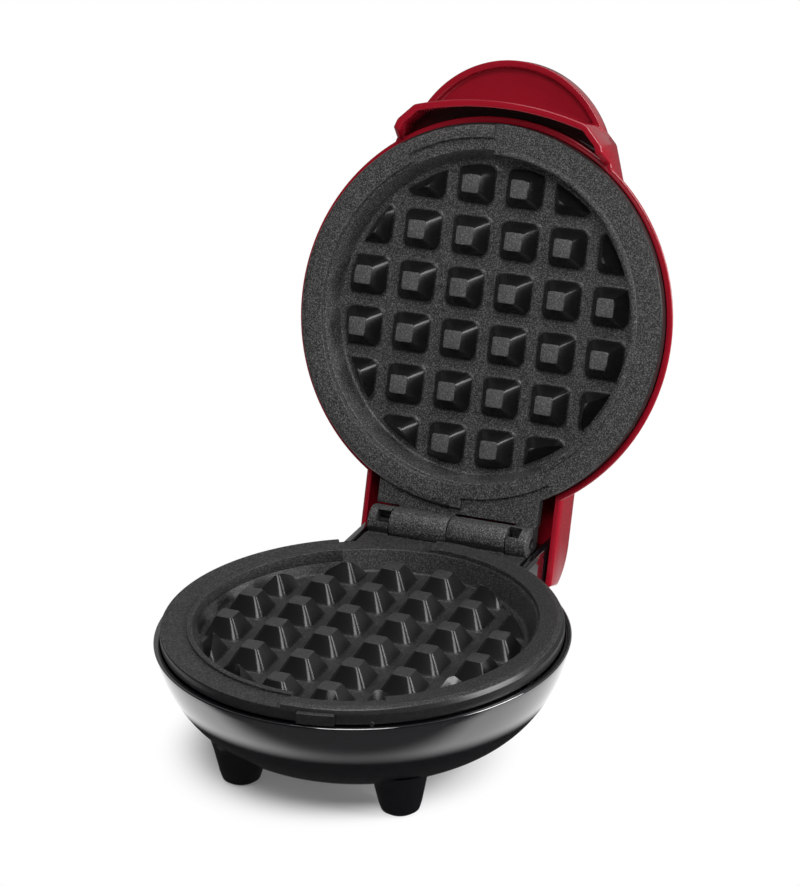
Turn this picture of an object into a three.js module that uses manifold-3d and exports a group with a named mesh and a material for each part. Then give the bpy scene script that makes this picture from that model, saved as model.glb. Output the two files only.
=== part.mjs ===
// A mini waffle maker: a round base and a hinged lid, each a plastic shell round the same cast waffle plate.
// Millimetres, +Z up, front toward -Y. Every piece is drawn with the lid closed, round the plates' axis,
// and the lid's group is then turned open about the hinge pin.
import * as THREE from 'three';
import { mergeVertices } from 'three/addons/utils/BufferGeometryUtils.js';
import Module from 'manifold-3d';

const wasm = await Module();
wasm.setup();

// General
const gap = 0.3;
const overrun = 1;
const weld = 0.0001;
const roundSteps = 48;
const smallSteps = 16;
const tinySteps = 8;
const cornerSteps = 3;
const heaterSides = 6;
const driverSides = 6;
const quarterTurn = 90;
const halfTurn = 180;
const fullTurn = 360;

// How far the hinge pin lies behind the shells, and how far the lid is open
const hingeOut = 5.1;
const openAngle = THREE.MathUtils.degToRad(109.4);

// Shells
const shellRadius = 62;
const shellWall = 2;
const bowlFloorRadius = 28.3;
const floorHeight = 6.85;
const crownRise = 0.5;
const bowlCurveSteps = 7;
const floorOutShare = 0.585;
const floorUpShare = 0.03;
const rimOutShare = 0.881;
const rimUpShare = 0.435;

// Cast plate: heights are measured from the parting plane toward the other plate
const rimInset = 2;
const skirtDrop = 4.4;
const skirtWidth = 2.2;
const ringRaise = 0.6;
const ringRecess = 0.9;
const ringWidth = 7.6;
const outerBandWidth = 4.5;
const bracketBandWidth = 3.6;
const ridgeInset = 9.7;
const ridgeWidth = 1.8;
const wallTopInset = 8.4;
const cavityInset = 10.7;
const cavityDepth = 7.5;
const plateFloor = 2.5;
const plateFootInset = 6;
const bandTurn = 30;
const patternTurn = 1.5;
const stepPlayTurn = 0.4;

// Waffle grid
const gridCount = 6;
const gridPitch = 16.226;
const gridBar = 4;
const studHeight = 6;
const studTop = 5.6;
const studCorner = 1.3;
const studInset = 1.8;

// Front tab on the lower plate's skirt
const tabStartTurn = 6.5;
const tabEndTurn = 17;
const tabDrop = 1.7;
const tabProud = 0.6;

// Hinge
const barrelRadius = 5;
const barrelHalf = 19.6;
const knuckleWidth = 7;
const pinRadius = 1.5;
const pinSunk = 0.8;
const bracketLip = 0.4;
const bracketDrop = 2;
const windowWidth = 4.4;
const windowHeight = 3.9;
const windowTurn = 45;
const windowFloor = 0.5;

// Posts and screws
const postRadius = 3.5;
const postLength = 8.3;
const postHole = 1.6;
const postHoleDepth = 6.5;
const bossRadius = 5;
const bossHeight = 14.3;
const screwRadius = 1.3;
const screwHeadRadius = 3;
const screwHeadHeight = 1.8;
const screwBite = 5.8;
const postCount = 3;
const clipRadius = 3.4;
const clipThickness = 0.4;

// Heater, its clamp and the reflector; the shares are of the plate's radius
const postShare = 1 / 3;
const clampInsideShare = 5 / 12;
const clampPostShare = 29 / 60;
const heaterShare = 3 / 5;
const clampOutsideShare = 2 / 3;
const reflectorShare = 11 / 15;
const heaterRadius = 2.5;
const heaterOpening = 16;
const heaterPinRadius = 1.2;
const heaterPinInset = 2.5;
const heaterPinLength = 8.6;
const clampThickness = 0.8;
const clampOpening = 28;
const clampPostRadius = 2.8;
const clampScrewRadius = 1.1;
const clampScrewHead = 2.4;
const clampScrewHeadHeight = 1;
const clampScrewBite = 3.2;
const reflectorThickness = 0.6;
const reflectorHole = 10;
const reflectorLip = 3;

// Base's rear housing
const housingReach = 13.5;
const earThickness = 2.5;
const earClearance = 0.8;
const earDrop = 2;
const housingWall = 2;
const housingInset = 0.6;
const housingDrop = 30.3;
const housingDepth = 21.4;

// Feet
const footSpread = 25.7;
const frontFootForward = 32;
const rearFootInset = 13.4;
const footTopRadius = 8;
const footNeckRadius = 6.35;
const footNeckHeight = 3.2;
const footEndRadius = 5.6;
const footEndHeight = 0.9;
const footRootHeight = 11;
const padRadius = 4.1;
const padShoulder = 5;
const padPlugRadius = 3.2;
const padPlugHeight = 4;

// Lid's handle: heights are measured up from the parting plane, and insets in from the shell's front
const tongueInset = 16.2;
const tongueRadius = 33.9;
const tongueUnder = 9;
const tongueTop = 15.5;
const tongueRound = 2.5;
const recessRadius = 31.8;
const recessCeiling = 11.5;
const skirtWallDrop = 1.6;
const skirtWallTop = 13.8;
const skirtWall = 2.2;
const skirtWallOut = 4.7;
const skirtWallCurve = 104;
const skirtCornerHalf = 29.2;
const skirtSideHalf = 33.9;
const skirtSideInset = 5;
const skirtRootHalf = 38.3;
const skirtRootInset = 18;
const skirtRimInset = 7.4;
const skirtRimRun = 3.2;
const moatCeiling = 8;

// Lid's tail, the channel that wraps the hinge
const tailClearance = 0.7;
const tailWall = 2.1;
const tailReach = 16.6;
const tailEnd = 12.8;
const tailForward = 25;

// Indicator in the lid's crown
const lensOut = 10;
const lensRadius = 2.9;
const lensProud = 0.4;
const lensFlange = 4.2;
const lensFlangeThickness = 0.8;
const lensSeatDepth = 3.2;
const lampRadius = 2.1;
const lampLength = 1.6;
const lampRoom = 0.4;
const lampHolderWall = 1.1;

// Control parts in the base
const thermostatRadius = 7.5;
const thermostatHeight = 5.5;
const thermostatNeck = 5;
const thermostatNeckHeight = 2.2;
const tabWidth = 4.8;
const tabThickness = 0.8;
const tabLength = 5;
const tabSpread = 3.4;
const fuseRadius = 2;
const fuseHalf = 7;
const fuseBack = 12.5;
const terminalHalf = 13;
const terminalInset = 3.5;
const terminalDepth = 10;
const terminalHeight = 8;
const terminalHoleRadius = 1.6;
const terminalSpread = 8;
const leadRadius = 1.1;
const leadSteps = 10;
const leadSides = 8;

// Cord gland
const glandRise = 7.55;
const glandNeck = 4;
const glandFlange = 6.2;
const glandFlangeDepth = 2.8;
const glandInnerFlange = 5.4;
const glandInnerDepth = 2.6;
const glandBoreHalfHeight = 1.9;
const glandBoreHalfWidth = 3.2;

// Places worked out from the sizes above
const ringRadius = shellRadius - rimInset;
const plateFootRadius = ringRadius - plateFootInset;
const cavityRadius = ringRadius - cavityInset;
const postCircle = postShare * ringRadius;
const heaterCircle = heaterShare * ringRadius;
const lensForward = postCircle + lensOut;
const hingeBack = shellRadius + hingeOut;
const bracketHalf = barrelHalf + knuckleWidth + bracketLip;
const housingHalf = bracketHalf + earClearance + earThickness;
const housingRear = shellRadius - housingInset;
const housingFront = housingRear - housingDepth;
const terminalFront = housingFront + terminalInset;
const rearFootBack = housingRear - rearFootInset;
const tailHalf = housingHalf + tailClearance + tailWall;
const tongueForward = shellRadius - tongueInset;
const skirtSideForward = shellRadius - skirtSideInset;
const skirtRootForward = shellRadius - skirtRootInset;

// Levels worked out from the sizes above; the plates' and the lid's are measured from the parting plane
const plateUnder = -(cavityDepth + plateFloor);
const postEnd = plateUnder - postLength;
const bossTop = floorHeight + shellWall + bossHeight;
const partingHeight = bossTop + reflectorThickness + 2 * gap - postEnd;
const lidReflectorTop = reflectorThickness + clipThickness + 2 * gap - postEnd;
const lensUnder = lidReflectorTop + lampRoom + lampLength + gap;
const crownHeight = lensUnder + lensFlangeThickness + lensSeatDepth + crownRise;
const baseRim = partingHeight - skirtDrop - gap;
const lidRim = skirtDrop + gap;
const deckHeight = partingHeight - barrelRadius - gap;
const earTop = partingHeight - earDrop;
const housingFloor = partingHeight - housingDrop;
const glandHeight = housingFloor + glandRise;
const clampPostEnd = plateUnder - 2 * heaterRadius - gap - 2 * gap;
const clampTop = clampPostEnd - gap;
const clampUnder = clampTop - clampThickness;
const clampHeadTop = clampUnder - gap;

// Booleans and basic solids

// Shared points and the corners of the triangles that keep three different points
function welded(geometry) {
  const { index, attributes } = mergeVertices(geometry, weld);
  const corners = [];
  for (let i = 0; i < index.count; i += 3) {
    const [a, b, c] = index.array.subarray(i, i + 3);
    if (a !== b && b !== c && c !== a) corners.push(a, b, c);
  }
  return { points: attributes.position.array, corners };
}

function solidOf(geometry) {
  const bare = geometry.clone();
  bare.deleteAttribute('normal');
  bare.deleteAttribute('uv');
  const { points, corners } = welded(bare);
  const mesh = new wasm.Mesh({ numProp: 3, vertProperties: points, triVerts: new Uint32Array(corners) });
  return new wasm.Manifold(mesh);
}

function geometryOf(solid) {
  const mesh = solid.getMesh();
  const raw = new THREE.BufferGeometry();
  raw.setAttribute('position', new THREE.BufferAttribute(mesh.vertProperties, 3));
  raw.setIndex(new THREE.BufferAttribute(mesh.triVerts, 1));
  const { points, corners } = welded(raw);
  const geometry = new THREE.BufferGeometry();
  geometry.setAttribute('position', new THREE.BufferAttribute(points, 3));
  geometry.setIndex(corners);
  const flat = geometry.toNonIndexed();
  flat.computeVertexNormals();
  return flat;
}

function join(...solids) {
  return solids.reduce((whole, solid) => whole.add(solid));
}

function cut(solid, ...cutters) {
  return cutters.reduce((rest, cutter) => rest.subtract(cutter), solid);
}

function block([left, right], [front, back], [low, high]) {
  const box = new THREE.BoxGeometry(right - left, back - front, high - low);
  return solidOf(box.translate((left + right) / 2, (front + back) / 2, (low + high) / 2));
}

// An upright round bar or cone; centre is its place in plan
function disc(radius, [low, high], { topRadius = radius, centre = [0, 0], steps = roundSteps } = {}) {
  const bar = new THREE.CylinderGeometry(topRadius, radius, high - low, steps);
  return solidOf(bar.rotateX(Math.PI / 2).translate(centre[0], centre[1], (low + high) / 2));
}

// A round bar along X through a point of the Y-Z plane
function barX(radius, [left, right], [back, height], steps = smallSteps) {
  const bar = new THREE.CylinderGeometry(radius, radius, right - left, steps);
  return solidOf(bar.rotateZ(Math.PI / 2).translate((left + right) / 2, back, height));
}

// A turned solid from [radius, height] points that start and end on the axis
function turned(points, { centre = [0, 0], steps = roundSteps } = {}) {
  const outline = points.map(([radius, height]) => new THREE.Vector2(radius, height));
  if (THREE.ShapeUtils.area(outline) < 0) outline.reverse();
  const lathe = new THREE.LatheGeometry(outline, steps);
  return solidOf(lathe.rotateX(Math.PI / 2).translate(centre[0], centre[1], 0));
}

// A part of a ring between two angles, in degrees from the front toward +X
function sector([inside, outside], [low, high], [from, to]) {
  const steps = Math.round((to - from) * roundSteps / fullTurn);
  const place = (radius, share) => {
    const angle = THREE.MathUtils.degToRad(from + (to - from) * share);
    return new THREE.Vector2(radius * Math.sin(angle), -radius * Math.cos(angle));
  };
  const shares = Array.from({ length: steps + 1 }, (_, i) => i / steps);
  const outer = shares.map((share) => place(outside, share));
  const inner = shares.map((share) => place(inside, share)).reverse();
  const shape = new THREE.Shape([...outer, ...inner]);
  const slab = new THREE.ExtrudeGeometry(shape, { depth: high - low, bevelEnabled: false });
  return solidOf(slab.translate(0, 0, low));
}

// A prism along X from an outline in the Y-Z plane
const ALONG_X = new THREE.Matrix4().makeBasis(
  new THREE.Vector3(0, 1, 0), new THREE.Vector3(0, 0, 1), new THREE.Vector3(1, 0, 0));

function prismX(points, [left, right]) {
  const shape = new THREE.Shape(points.map(([back, height]) => new THREE.Vector2(back, height)));
  const prism = new THREE.ExtrudeGeometry(shape, { depth: right - left, bevelEnabled: false });
  return solidOf(prism.translate(0, 0, left).applyMatrix4(ALONG_X));
}

function arc([centreBack, centreHeight], radius, from, to, steps) {
  return Array.from({ length: steps + 1 }, (_, i) => {
    const angle = THREE.MathUtils.degToRad(from + (to - from) * i / steps);
    return [centreBack + radius * Math.cos(angle), centreHeight + radius * Math.sin(angle)];
  });
}

// Places evenly round a circle, the first one at the given angle from +X
function around(radius, count, first) {
  return Array.from({ length: count }, (_, i) => {
    const angle = THREE.MathUtils.degToRad(first + fullTurn * i / count);
    return [radius * Math.cos(angle), radius * Math.sin(angle)];
  });
}

const POSTS = around(postCircle, postCount, -quarterTurn);
const CLAMP_POSTS = around(clampPostShare * ringRadius, postCount, quarterTurn - fullTurn / postCount);

// Shells

// The bowl's side from its floor to its rim, as [radius, height over the floor]
function bowlSide(floorRadius, rimRadius, depth) {
  const reach = rimRadius - floorRadius;
  const curve = new THREE.CubicBezierCurve(
    new THREE.Vector2(floorRadius, 0),
    new THREE.Vector2(floorRadius + floorOutShare * reach, floorUpShare * depth),
    new THREE.Vector2(floorRadius + rimOutShare * reach, rimUpShare * depth),
    new THREE.Vector2(rimRadius, depth));
  return curve.getPoints(bowlCurveSteps).map((point) => [point.x, point.y]);
}

function baseBowl(inset, above) {
  const floor = floorHeight + inset;
  const side = bowlSide(bowlFloorRadius - inset, shellRadius - inset, baseRim - floor);
  const points = side.map(([radius, height]) => [radius, floor + height]);
  return turned([[0, floor], ...points, [shellRadius - inset, baseRim + above], [0, baseRim + above]]);
}

function lidDome(inset, below) {
  const crownEdge = crownHeight - crownRise - inset;
  const side = bowlSide(bowlFloorRadius - inset, shellRadius - inset, crownEdge - lidRim);
  const points = side.map(([radius, height]) => [radius, crownEdge - height]);
  const rim = lidRim - below;
  return turned([[0, crownHeight - inset], ...points, [shellRadius - inset, rim], [0, rim]]);
}

// Side outline of the rear housing, drawn in by an inset
function housingOutline(inset, top) {
  const reach = housingReach - inset;
  const rear = housingRear - inset;
  const topTurn = THREE.MathUtils.radToDeg(Math.asin((top - partingHeight) / reach));
  const rearTurn = -THREE.MathUtils.radToDeg(Math.acos((rear - hingeBack) / reach));
  return [
    [housingFront + inset, housingFloor + inset],
    [housingFront + inset, top],
    ...arc([hingeBack, partingHeight], reach, topTurn, rearTurn, tinySteps),
    [rear, housingFloor + inset],
  ];
}

function footStub(forward, side) {
  const footTop = housingFloor + shellWall;
  const points = [
    [0, footEndHeight], [footEndRadius, footEndHeight], [footNeckRadius, footNeckHeight],
    [footTopRadius, footRootHeight], [footTopRadius, footTop], [0, footTop]];
  return turned(points, { centre: [side, forward], steps: smallSteps });
}

const FEET = {
  front_left: [-frontFootForward, -footSpread],
  front_right: [-frontFootForward, footSpread],
  rear_left: [rearFootBack, -footSpread],
  rear_right: [rearFootBack, footSpread],
};

function baseShell() {
  const housing = prismX(housingOutline(0, earTop), [-housingHalf, housingHalf]);
  const stubs = Object.values(FEET).map(([forward, side]) => footStub(forward, side));
  const outside = join(baseBowl(0, 0), housing, ...stubs);
  const hollowHalf = housingHalf - housingWall;
  const hollow = prismX(housingOutline(housingWall, deckHeight - housingWall), [-hollowHalf, hollowHalf]);
  const notchHalf = housingHalf - earThickness;
  const betweenEars = block([-notchHalf, notchHalf], [housingRear - housingReach, hingeBack + shellRadius],
    [deckHeight, partingHeight]);
  const underSkirt = disc(ringRadius + gap, [baseRim, partingHeight]);
  const emptied = cut(outside, join(baseBowl(shellWall, overrun), hollow), betweenEars, underSkirt);
  const headRoom = floorHeight + gap + screwHeadHeight + gap;
  const bosses = POSTS.map((centre) => disc(bossRadius, [floorHeight, bossTop],
    { centre, steps: smallSteps }));
  const bores = POSTS.map((centre) => join(
    disc(screwRadius + gap, [floorHeight - overrun, bossTop + overrun], { centre, steps: smallSteps }),
    disc(screwHeadRadius + gap, [floorHeight - overrun, headRoom], { centre, steps: smallSteps })));
  const sockets = Object.values(FEET).map(([forward, side]) => disc(padPlugRadius + gap,
    [footEndHeight - overrun, padPlugHeight + gap], { centre: [side, forward], steps: smallSteps }));
  const glandHole = alongY(disc(glandNeck + gap, [housingRear - housingWall - overrun, housingRear + overrun],
    { steps: smallSteps }));
  return cut(join(emptied, ...bosses), ...bores, ...sockets, glandHole);
}

// Lays an upright solid on its side, so that its height runs toward the back at the gland's height
function alongY(solid) {
  return solid.rotate([-quarterTurn, 0, 0]).translate([0, 0, glandHeight]);
}

function footPad([forward, side]) {
  const points = [
    [0, 0], [padRadius, 0], [padShoulder, footEndHeight - gap], [padPlugRadius, footEndHeight - gap],
    [padPlugRadius, padPlugHeight], [0, padPlugHeight]];
  return turned(points, { centre: [side, forward], steps: smallSteps });
}

// Plan of the handle's skirt, drawn in by an inset: a curved front, two cut corners and its roots in the dome
function skirtPlan(inset) {
  const curve = skirtWallCurve - inset;
  const half = skirtCornerHalf - inset;
  const centre = shellRadius + skirtWallOut - skirtWallCurve;
  const turn = THREE.MathUtils.radToDeg(Math.asin(half / curve));
  const front = arc([0, -centre], curve, -quarterTurn - turn, -quarterTurn + turn, tinySteps);
  return [
    ...front,
    [skirtSideHalf - inset, -skirtSideForward],
    [skirtRootHalf - inset, -skirtRootForward],
    [-skirtRootHalf + inset, -skirtRootForward],
    [-skirtSideHalf + inset, -skirtSideForward],
  ];
}

function upright(points, [low, high]) {
  const shape = new THREE.Shape(points.map(([side, back]) => new THREE.Vector2(side, back)));
  const slab = new THREE.ExtrudeGeometry(shape, { depth: high - low, bevelEnabled: false });
  return solidOf(slab.translate(0, 0, low));
}

// The handle: a round tongue with a finger recess under it, and a skirt that closes it toward the plate
function handle() {
  const centre = [0, -tongueForward];
  const tongue = turned([
    [0, tongueUnder], [tongueRadius, tongueUnder], [tongueRadius, tongueTop - tongueRound],
    ...arc([tongueRadius - tongueRound, tongueTop - tongueRound], tongueRound, 0, quarterTurn, cornerSteps),
    [0, tongueTop]], { centre });
  const recess = disc(recessRadius, [tongueUnder - overrun, recessCeiling], { centre });
  const skirt = upright(skirtPlan(0), [-skirtWallDrop, skirtWallTop]);
  const moat = upright(skirtPlan(skirtWall), [-skirtWallDrop - overrun, moatCeiling]);
  const low = -skirtWallDrop - overrun;
  const rimEnd = skirtRimInset - shellRadius;
  const rimRamp = prismX([
    [rimEnd, low], [0, low], [0, lidRim], [rimEnd + skirtRimRun, lidRim], [rimEnd, -skirtWallDrop],
  ], [-skirtRootHalf - overrun, skirtRootHalf + overrun]);
  return cut(join(cut(tongue, recess), skirt), moat, rimRamp, disc(shellRadius, [low, lidRim]));
}

// Side outline of the lid's tail, drawn in by an inset
function tailOutline(inset, rim) {
  const reach = tailReach - inset;
  const endTurn = THREE.MathUtils.radToDeg(Math.acos(tailEnd / reach));
  return [
    [hingeBack - tailForward, rim],
    [hingeBack + tailEnd, rim],
    ...arc([hingeBack, 0], reach, endTurn, quarterTurn, tinySteps),
    [hingeBack - tailForward, reach],
  ];
}

function lidShell() {
  const tail = prismX(tailOutline(0, lidRim), [-tailHalf, tailHalf]);
  const outside = join(lidDome(0, 0), handle(), tail);
  const channelHalf = tailHalf - tailWall;
  const reach = tailReach - tailWall;
  const endAngle = Math.acos(tailEnd / reach);
  const channel = prismX([
    [hingeBack - tailForward, -overrun],
    [hingeBack + tailEnd + overrun, -overrun],
    [hingeBack + tailEnd + overrun, reach * Math.sin(endAngle)],
    ...arc([hingeBack, 0], reach, THREE.MathUtils.radToDeg(endAngle), quarterTurn, tinySteps),
    [hingeBack - tailForward, reach],
  ], [-channelHalf, channelHalf]);
  const emptied = cut(outside, lidDome(shellWall, overrun + lidRim), channel);
  const bossTip = -postEnd + clipThickness + reflectorThickness + 3 * gap;
  const stemTip = -(plateUnder - postLength + screwBite);
  const bosses = POSTS.map(([side, back]) => join(
    disc(bossRadius - gap, [bossTip, crownHeight - shellWall / 2],
      { centre: [-side, back], steps: smallSteps }),
    disc(screwRadius, [stemTip, bossTip + overrun], { centre: [-side, back], steps: smallSteps })));
  const lensHole = disc(lensRadius + gap, [lidRim, crownHeight + overrun],
    { centre: [0, -lensForward], steps: smallSteps });
  return cut(join(emptied, ...bosses), lensHole);
}

// Cast waffle plate, drawn as the lower one; the upper one is the same casting turned over about Y

function gridCells() {
  const half = (gridCount - 1) / 2;
  const cells = [];
  for (let column = 0; column < gridCount; column += 1) {
    for (let row = 0; row < gridCount; row += 1) {
      const isCorner = Math.abs(column - half) === half && Math.abs(row - half) === half;
      if (!isCorner) cells.push([(column - half) * gridPitch, (row - half) * gridPitch]);
    }
  }
  return cells;
}

// One stud: a square block with clipped corners that tapers to a flat top
function stud([side, back]) {
  const footHalf = (gridPitch - gridBar) / 2;
  const topHalf = studTop / 2;
  const square = (half, height, corner) => [
    [half, -half + corner], [half, half - corner], [half - corner, half], [-half + corner, half],
    [-half, half - corner], [-half, -half + corner], [-half + corner, -half], [half - corner, -half],
  ].map(([x, y]) => [side + x, back + y, height]);
  const sunk = cavityDepth + plateFloor / 2;
  const rings = [
    square(footHalf, -sunk, studCorner),
    square(footHalf, -cavityDepth, studCorner),
    square(topHalf, studHeight - cavityDepth, studCorner * topHalf / footHalf),
  ];
  const points = rings.flat().flat();
  const count = rings[0].length;
  const faces = [];
  for (let ring = 0; ring + 1 < rings.length; ring += 1) {
    for (let i = 0; i < count; i += 1) {
      const a = ring * count + i;
      const b = ring * count + (i + 1) % count;
      faces.push(a, b, b + count, a, b + count, a + count);
    }
  }
  const last = (rings.length - 1) * count;
  for (let i = 1; i + 1 < count; i += 1) {
    faces.push(0, i + 1, i);
    faces.push(last, last + i, last + i + 1);
  }
  const geometry = new THREE.BufferGeometry();
  geometry.setAttribute('position', new THREE.Float32BufferAttribute(points, 3));
  geometry.setIndex(faces);
  return solidOf(geometry);
}

// The plate without its studs, turned a little so that the steps in its ring lie as they were cast
function plateRing() {
  const wallTopRadius = ringRadius - wallTopInset;
  const ringInside = ringRadius - ringWidth;
  const ridgeInside = ringRadius - ridgeInset;
  const body = turned([
    [0, plateUnder], [plateFootRadius, plateUnder],
    [ringRadius - skirtWidth, -skirtDrop], [ringRadius, -skirtDrop], [ringRadius, ringRaise],
    [ringInside, ringRaise], [ringInside, -ringRecess], [wallTopRadius, -ringRecess],
    [cavityRadius, -cavityDepth], [0, -cavityDepth]]);
  const outer = ringRadius + overrun;
  const above = ringRaise + overrun;
  const ledge = (wallTopRadius + ringInside) / 2;
  const lowered = sector([ledge, outer], [-ringRecess, above], [halfTurn, fullTurn]);
  // Where the raised halves of the two plates overlap at the rear, each stays clear of the other
  const shared = sector([ledge, outer], [-gap / 2, above],
    [halfTurn - 2 * patternTurn - stepPlayTurn, halfTurn + patternTurn]);
  const frontBand = sector([ledge, ringRadius - outerBandWidth], [-ringRecess, above], [-bandTurn, bandTurn]);
  const rearDrop = sector([ringRadius - bracketBandWidth, outer], [-bracketDrop, above],
    [halfTurn, halfTurn + bandTurn]);
  const ridge = sector([ridgeInside, ridgeInside + ridgeWidth], [-skirtDrop, -gap / 2],
    [halfTurn + bandTurn, fullTurn]);
  return join(cut(body, lowered, shared, frontBand, rearDrop), ridge).rotate([0, 0, patternTurn]);
}

function hingeLeaf() {
  const axis = [hingeBack, 0];
  const between = gap / 2;
  const own = [
    [between, barrelHalf - between],
    [-barrelHalf - knuckleWidth, -barrelHalf - between],
  ];
  const clearOf = hingeBack - barrelRadius - gap;
  const heights = [-barrelRadius, -bracketDrop];
  const leaf = cut(block([-bracketHalf, bracketHalf], [plateFootRadius - postCircle, clearOf], heights),
    disc(plateFootRadius, [-barrelRadius - overrun, overrun]));
  const knuckles = own.map((span) => join(
    barX(barrelRadius, span, axis),
    block(span, [clearOf - overrun, hingeBack], heights)));
  const bore = barX(pinRadius + gap, [-bracketHalf - overrun, bracketHalf + overrun], axis);
  const opening = block([-barrelHalf - windowWidth, -barrelHalf + overrun],
    [-barrelRadius - overrun, -windowFloor], [-windowHeight / 2, windowHeight / 2]);
  const window = opening.rotate([-windowTurn, 0, 0]).translate([0, ...axis]);
  return { leaf: join(leaf, ...knuckles), cutters: [bore, window] };
}

function castPlate() {
  const studs = gridCells().map(stud).reduce((all, one) => all.add(one));
  const studLow = plateUnder / 2 - cavityDepth;
  const studHigh = studHeight - cavityDepth;
  const studLimit = cavityRadius - studInset;
  const tipLimit = studLimit - (gridPitch - gridBar - studTop) / 2;
  const studCone = turned([[0, studLow], [studLimit, studLow], [studLimit, -cavityDepth],
    [tipLimit, studHigh], [tipLimit, studHigh + overrun], [0, studHigh + overrun]]);
  const posts = POSTS.map((centre) => disc(postRadius, [postEnd, plateUnder + plateFloor / 2],
    { centre, steps: smallSteps }));
  const postHoles = POSTS.map((centre) => disc(postHole, [postEnd - overrun, postEnd + postHoleDepth],
    { centre, steps: tinySteps }));
  const clampPosts = CLAMP_POSTS.map((centre) => disc(clampPostRadius,
    [clampPostEnd, plateUnder + plateFloor / 2], { centre, steps: tinySteps }));
  const clampHoles = CLAMP_POSTS.map((centre) => disc(clampScrewRadius + gap,
    [clampPostEnd - overrun, clampPostEnd + clampScrewBite + gap], { centre, steps: tinySteps }));
  const { leaf, cutters } = hingeLeaf();
  const whole = join(plateRing(), studs.intersect(studCone), leaf, ...posts, ...clampPosts);
  return cut(whole, ...cutters, ...postHoles, ...clampHoles);
}

// The small raised tab on the front of the lower plate's skirt
function skirtTab() {
  return sector([ringRadius - skirtWidth, ringRadius + tabProud], [-skirtDrop, -tabDrop],
    [tabStartTurn, tabEndTurn]);
}

function turnedOver(solid) {
  return solid.rotate([0, halfTurn, 0]);
}

// Heating set under a plate, drawn as the lower plate's

function heater() {
  const level = plateUnder - gap - heaterRadius;
  const ring = new THREE.TorusGeometry(heaterCircle, heaterRadius, heaterSides, roundSteps);
  const opening = block([-heaterOpening / 2, heaterOpening / 2], [0, heaterCircle + 2 * heaterRadius],
    [level - 2 * heaterRadius, level + 2 * heaterRadius]);
  const side = heaterOpening / 2 + heaterPinInset;
  const back = Math.sqrt(heaterCircle ** 2 - side ** 2);
  const pins = [-side, side].map((x) => disc(heaterPinRadius, [level - heaterPinLength, level],
    { centre: [x, back], steps: tinySteps }));
  return join(cut(solidOf(ring.translate(0, 0, level)), opening), ...pins);
}

function heaterClamp() {
  const heights = [clampUnder, clampTop];
  const clampInside = clampInsideShare * ringRadius;
  const clampOutside = clampOutsideShare * ringRadius;
  const through = [clampUnder - overrun, clampTop + overrun];
  const holeRadius = clampScrewRadius + gap;
  const holes = CLAMP_POSTS.map((centre) => disc(holeRadius, through, { centre, steps: tinySteps }));
  const opening = block([-clampOpening / 2, clampOpening / 2], [0, clampOutside + overrun], through);
  return cut(disc(clampOutside, heights), disc(clampInside, through), opening, ...holes);
}

function clampScrew(centre) {
  const tip = clampPostEnd + clampScrewBite;
  const shank = disc(clampScrewRadius, [clampHeadTop - clampScrewHeadHeight / 2, tip],
    { centre, steps: tinySteps });
  const head = disc(clampScrewHead, [clampHeadTop - clampScrewHeadHeight, clampHeadTop],
    { centre, steps: smallSteps });
  return join(shank, head);
}

// A thin dish; top is its upper face's level
function reflector(top) {
  const under = top - reflectorThickness;
  const reflectorRadius = reflectorShare * ringRadius;
  const wallInside = reflectorRadius - reflectorThickness;
  const dish = turned([[0, under], [reflectorRadius, under], [reflectorRadius, top + reflectorLip],
    [wallInside, top + reflectorLip], [wallInside, top], [0, top]]);
  const through = [under - overrun, top + overrun];
  const side = heaterOpening / 2 + heaterPinInset;
  const back = Math.sqrt(heaterCircle ** 2 - side ** 2);
  const holes = [
    disc(reflectorHole, through, { steps: smallSteps }),
    ...POSTS.map((centre) => disc(postHole, through, { centre, steps: tinySteps })),
    ...[-side, side].map((x) => disc(2 * heaterPinRadius, through, { centre: [x, back], steps: tinySteps })),
  ];
  return cut(dish, ...holes);
}

// Small pieces of the base

function baseScrew(centre) {
  const low = floorHeight + gap;
  const tip = partingHeight + postEnd + screwBite;
  const shank = disc(screwRadius, [low + screwHeadHeight / 2, tip], { centre, steps: tinySteps });
  const head = disc(screwHeadRadius, [low, low + screwHeadHeight], { centre, steps: smallSteps });
  const driver = disc(screwHeadRadius / 2, [low - overrun, low + screwHeadHeight / 2],
    { centre, steps: driverSides });
  return cut(join(shank, head), driver);
}

function thermostat() {
  const top = partingHeight + plateUnder - gap;
  const body = disc(thermostatRadius, [top - thermostatHeight, top], { steps: smallSteps });
  const neckLow = top - thermostatHeight - thermostatNeckHeight;
  const neck = disc(thermostatNeck, [neckLow, top - overrun], { steps: smallSteps });
  const tabs = [-tabSpread, tabSpread].map((x) => block([x - tabThickness / 2, x + tabThickness / 2],
    [-tabWidth / 2, tabWidth / 2], [neckLow - tabLength, neckLow + overrun]));
  return join(body, neck, ...tabs);
}

function thermalFuse() {
  const level = partingHeight + plateUnder - gap - fuseRadius;
  return barX(fuseRadius, [-fuseHalf, fuseHalf], [fuseBack, level], tinySteps);
}

const TERMINAL_FLOOR = housingFloor + housingWall + gap;

function terminalBlock() {
  const depth = [terminalFront, terminalFront + terminalDepth];
  const body = block([-terminalHalf, terminalHalf], depth, [TERMINAL_FLOOR, TERMINAL_FLOOR + terminalHeight]);
  const wells = [-terminalSpread, 0, terminalSpread].map((x) => disc(terminalHoleRadius,
    [TERMINAL_FLOOR + terminalHeight / 2, TERMINAL_FLOOR + terminalHeight + overrun],
    { centre: [x, terminalFront + terminalDepth / 2], steps: tinySteps }));
  return cut(body, ...wells);
}

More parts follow.
